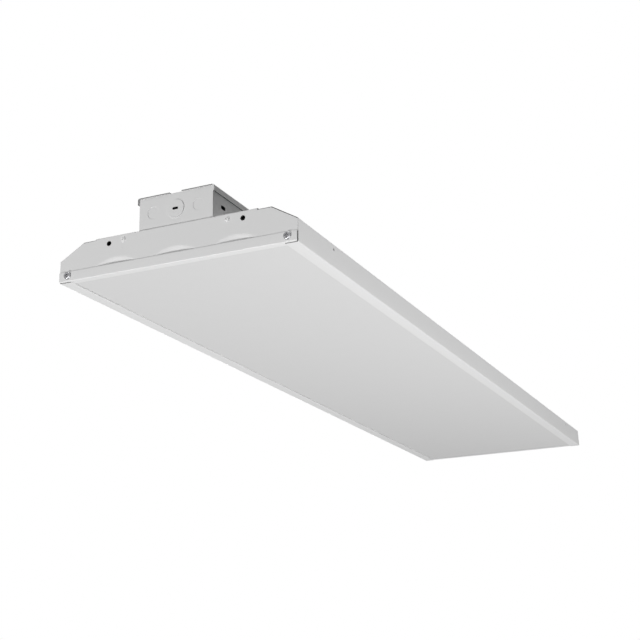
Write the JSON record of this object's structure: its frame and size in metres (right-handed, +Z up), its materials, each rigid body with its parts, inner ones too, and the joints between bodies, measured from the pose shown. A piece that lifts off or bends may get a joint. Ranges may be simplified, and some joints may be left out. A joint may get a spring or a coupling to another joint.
{
  "type": "high bay light",
  "caption": "Long low white light fixture: folded channel with sloped shoulders, frosted flat lens, notched end rails and a wiring box on its roof.",
  "frame": {"origin": "centre of the underside, in the plane of the return flanges", "axes": "+X along the fixture away from the wiring box, +Y across it, +Z up towards the roof"},
  "size_m": [1.2236, 0.3048, 0.0872],
  "materials": {
    "housing_paint": "white powder coat, satin",
    "end_paint": "white powder coat, satin",
    "box_paint": "white powder coat, satin",
    "rivet_paint": "white paint",
    "zinc_sheet": "zinc plated",
    "dark_screw": "plain steel, half gloss",
    "zinc_screw": "zinc plated",
    "frosted_lens": "frosted acrylic, even",
    "foam": "soft white foam",
    "board_mask": "white solder mask",
    "phosphor": "yellow phosphor",
    "driver_case": "plain, satin",
    "black_nylon": "moulded",
    "nut_orange": "moulded",
    "nut_green": "moulded",
    "lead_black": "insulation",
    "lead_white": "insulation",
    "lead_green": "insulation",
    "lead_red": "insulation",
    "lead_blue": "insulation"
  },
  "bodies": {
    "root": {"board_screws_centre": "zinc_screw", "board_screws_left": "zinc_screw", "board_screws_right": "zinc_screw", "box_body": "box_paint", "box_cover": "box_paint", "box_screw_1": "zinc_screw", "box_screw_2": "zinc_screw", "box_screw_3": "zinc_screw", "box_screw_4": "zinc_screw", "bushing": "black_nylon", "cover_screw_1": "zinc_screw", "cover_screw_2": "zinc_screw", "cover_screw_3": "zinc_screw", "cover_screw_4": "zinc_screw", "driver": "driver_case", "driver_screw_1": "zinc_screw", "driver_screw_2": "zinc_screw", "end_plate_far": "end_paint", "end_plate_near": "end_paint", "end_rail_far": "end_paint", "end_rail_near": "end_paint", "end_stiffener_far": "zinc_sheet", "end_stiffener_near": "zinc_sheet", "flange_rivets_far": "rivet_paint", "flange_rivets_near": "rivet_paint", "ground_lead": "lead_green", "ground_screw": "zinc_screw", "housing": "housing_paint", "led_board_far_centre": "board_mask", "led_board_far_left": "board_mask", "led_board_far_right": "board_mask", "led_board_near_centre": "board_mask", "led_board_near_left": "board_mask", "led_board_near_right": "board_mask", "led_packages_centre": "phosphor", "led_packages_left": "phosphor", "led_packages_right": "phosphor", "lens": "frosted_lens", "lens_cushion_left": "foam", "lens_cushion_right": "foam", "output_lead_negative": "lead_blue", "output_lead_positive": "lead_red", "plate_rivet_far_left": "rivet_paint", "plate_rivet_far_right": "rivet_paint", "plate_rivet_near_left": "rivet_paint", "plate_rivet_near_right": "rivet_paint", "rail_screw_far_left": "dark_screw", "rail_screw_far_right": "dark_screw", "rail_screw_near_left": "dark_screw", "rail_screw_near_right": "dark_screw", "row_jumper_left": "lead_white", "row_jumper_right": "lead_white", "supply_lead_black": "lead_black", "supply_lead_white": "lead_white", "wire_nut_ground_lead": "nut_green", "wire_nut_supply_lead_black": "nut_orange", "wire_nut_supply_lead_white": "nut_orange"}
  },
  "joints": []
}
